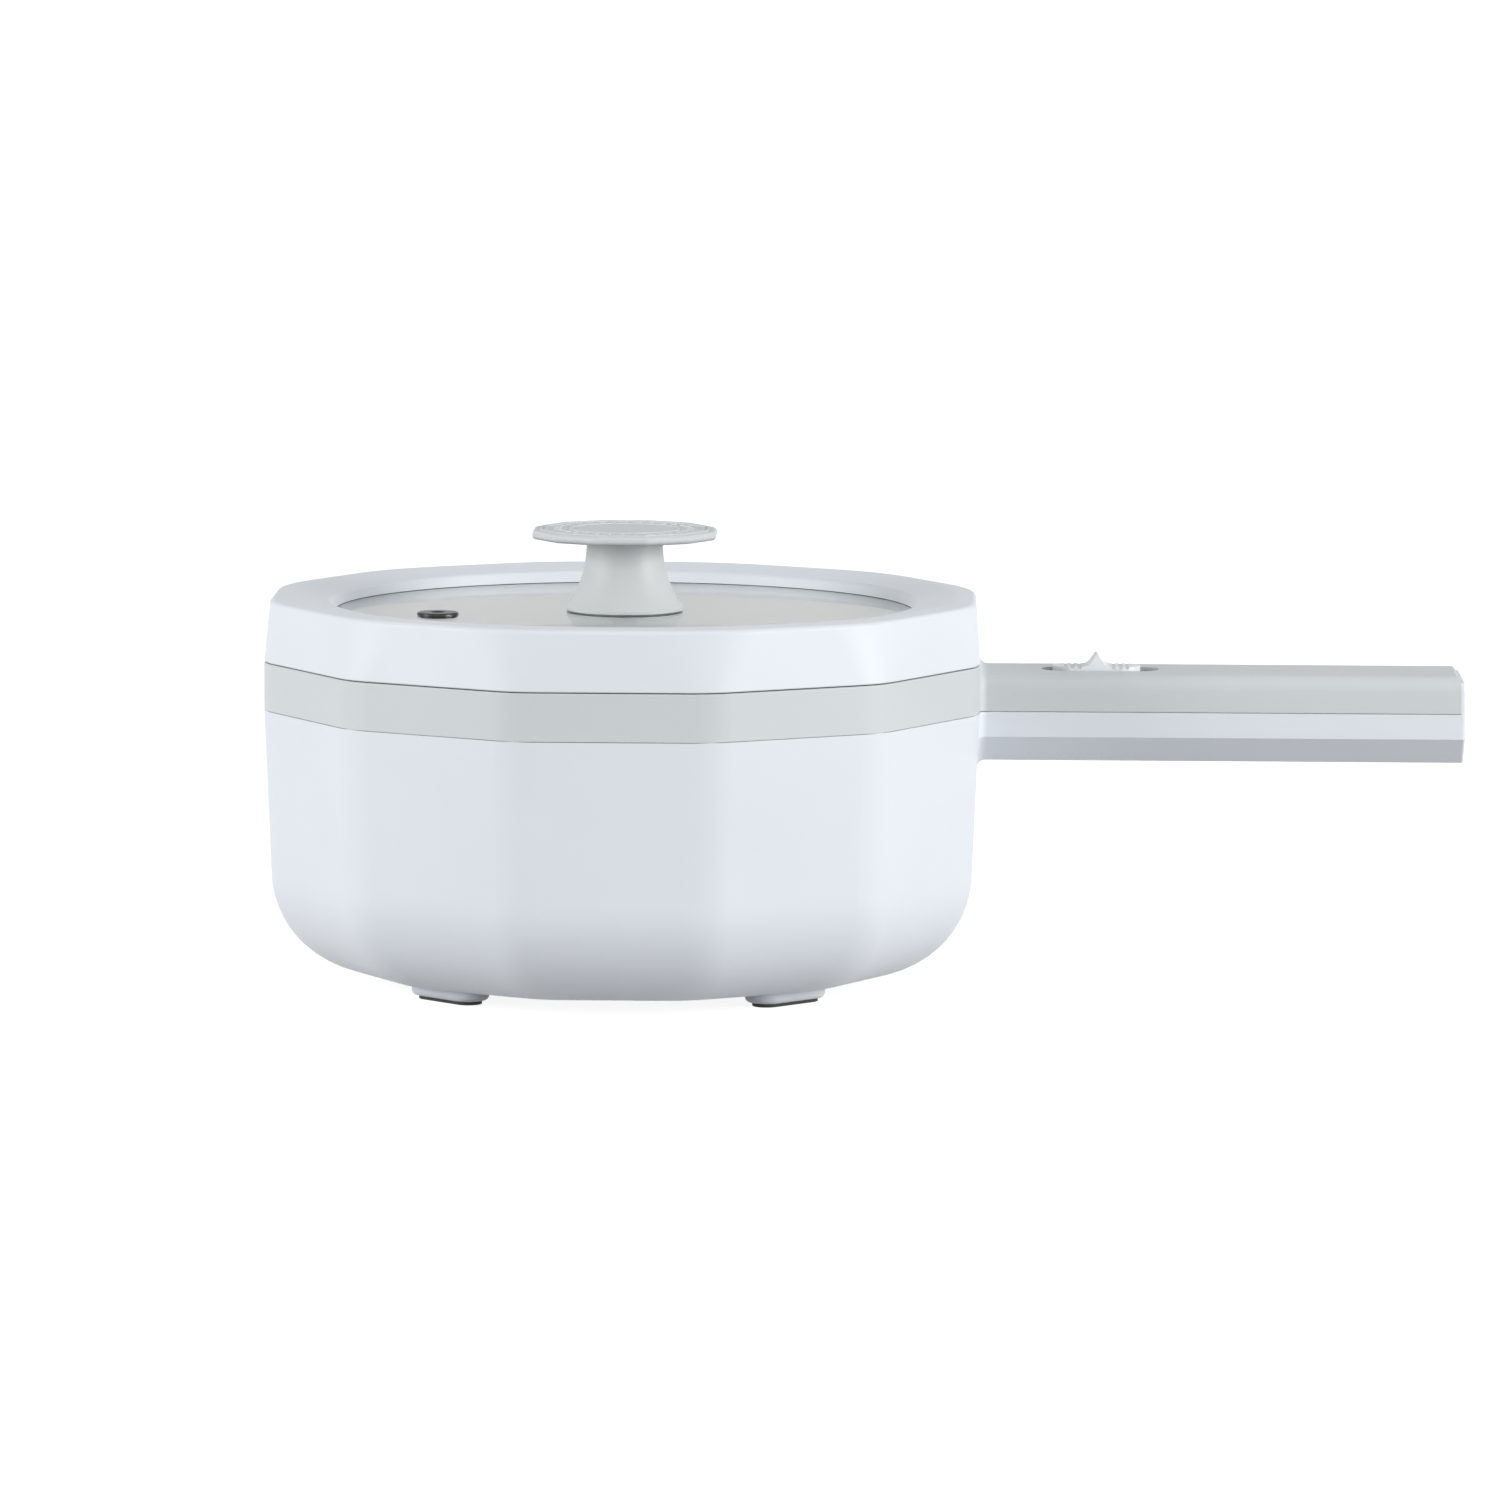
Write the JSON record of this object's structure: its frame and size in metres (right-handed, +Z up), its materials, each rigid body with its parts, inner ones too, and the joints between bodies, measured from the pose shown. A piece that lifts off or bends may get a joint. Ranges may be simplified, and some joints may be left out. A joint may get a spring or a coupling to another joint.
{
  "type": "electric hot pot with lid",
  "caption": "Twelve-sided electric hot pot with a side handle, slide switch and lift-off glass lid with knob.",
  "frame": {"origin": "pot's vertical axis at table level, under the middle of the feet", "axes": "+Z up along the pot's axis, +X along the side handle, +Y to its left side"},
  "size_m": [0.3693, 0.22, 0.1408],
  "materials": {
    "white_plastic": "satin moulded",
    "grey_plastic": "satin moulded",
    "pot_coating": "non-stick coated",
    "cast_aluminium": "as cast",
    "steel": "plated",
    "brass": "brass, plain",
    "ceramic": "ceramic, unglazed",
    "dark_plastic": "fine texture",
    "dark_rubber": "matt",
    "silicone": "translucent",
    "glass": "tempered, polished",
    "wire_brown": "silicone sleeve",
    "wire_blue": "silicone sleeve",
    "wire_green": "silicone sleeve"
  },
  "bodies": {
    "base": {"lower_housing": "white_plastic", "upper_housing": "grey_plastic", "inner_pot": "pot_coating", "pot_gasket": "silicone", "heating_plate": "cast_aluminium", "heating_tube": "steel", "terminal_beads": "ceramic", "heater_pins": "steel", "thermostat": "dark_plastic", "thermostat_tabs": "brass", "thermostat_strap": "steel", "thermostat_screws": "steel", "thermal_fuse": "ceramic", "fuse_clamp": "steel", "fuse_screw": "steel", "heat_shield": "steel", "shield_nuts": "steel", "clinch_nuts": "steel", "foot_screws": "steel", "foot_pads": "dark_rubber", "earth_screw": "steel", "earth_tag": "brass", "switch_body": "dark_plastic", "switch_tabs": "brass", "switch_screws": "steel", "handle_screws": "steel", "inlet_body": "dark_plastic", "inlet_pins": "brass", "end_cap": "white_plastic", "wire_live": "wire_brown", "wire_hot": "wire_brown", "wire_neutral": "wire_blue", "wire_earth": "wire_green", "wire_link": "wire_blue", "wire_return": "wire_blue", "wire_comb": "white_plastic"},
    "lid": {"lid_rim": "white_plastic", "lid_glass": "glass", "glass_gasket": "silicone", "lid_retainer": "white_plastic", "lid_screws": "steel", "lid_seal": "silicone", "vent_eyelet": "steel", "knob_washer": "dark_rubber", "knob_stem": "grey_plastic", "knob_disc": "grey_plastic", "knob_insert": "brass", "knob_lower_seal": "silicone", "knob_lower_washer": "steel", "knob_screw": "steel"},
    "slider": {"switch_button": "white_plastic", "slider_carriage": "dark_plastic"}
  },
  "joints": [
    {"name": "lid_lift", "type": "slide", "parent": "base", "child": "lid", "axis": [0, 0, 1], "range_m": [0, 0.15]},
    {"name": "switch_slide", "type": "slide", "parent": "base", "child": "slider", "axis": [1, 0, 0], "range_m": [-0.003, 0.003]}
  ]
}
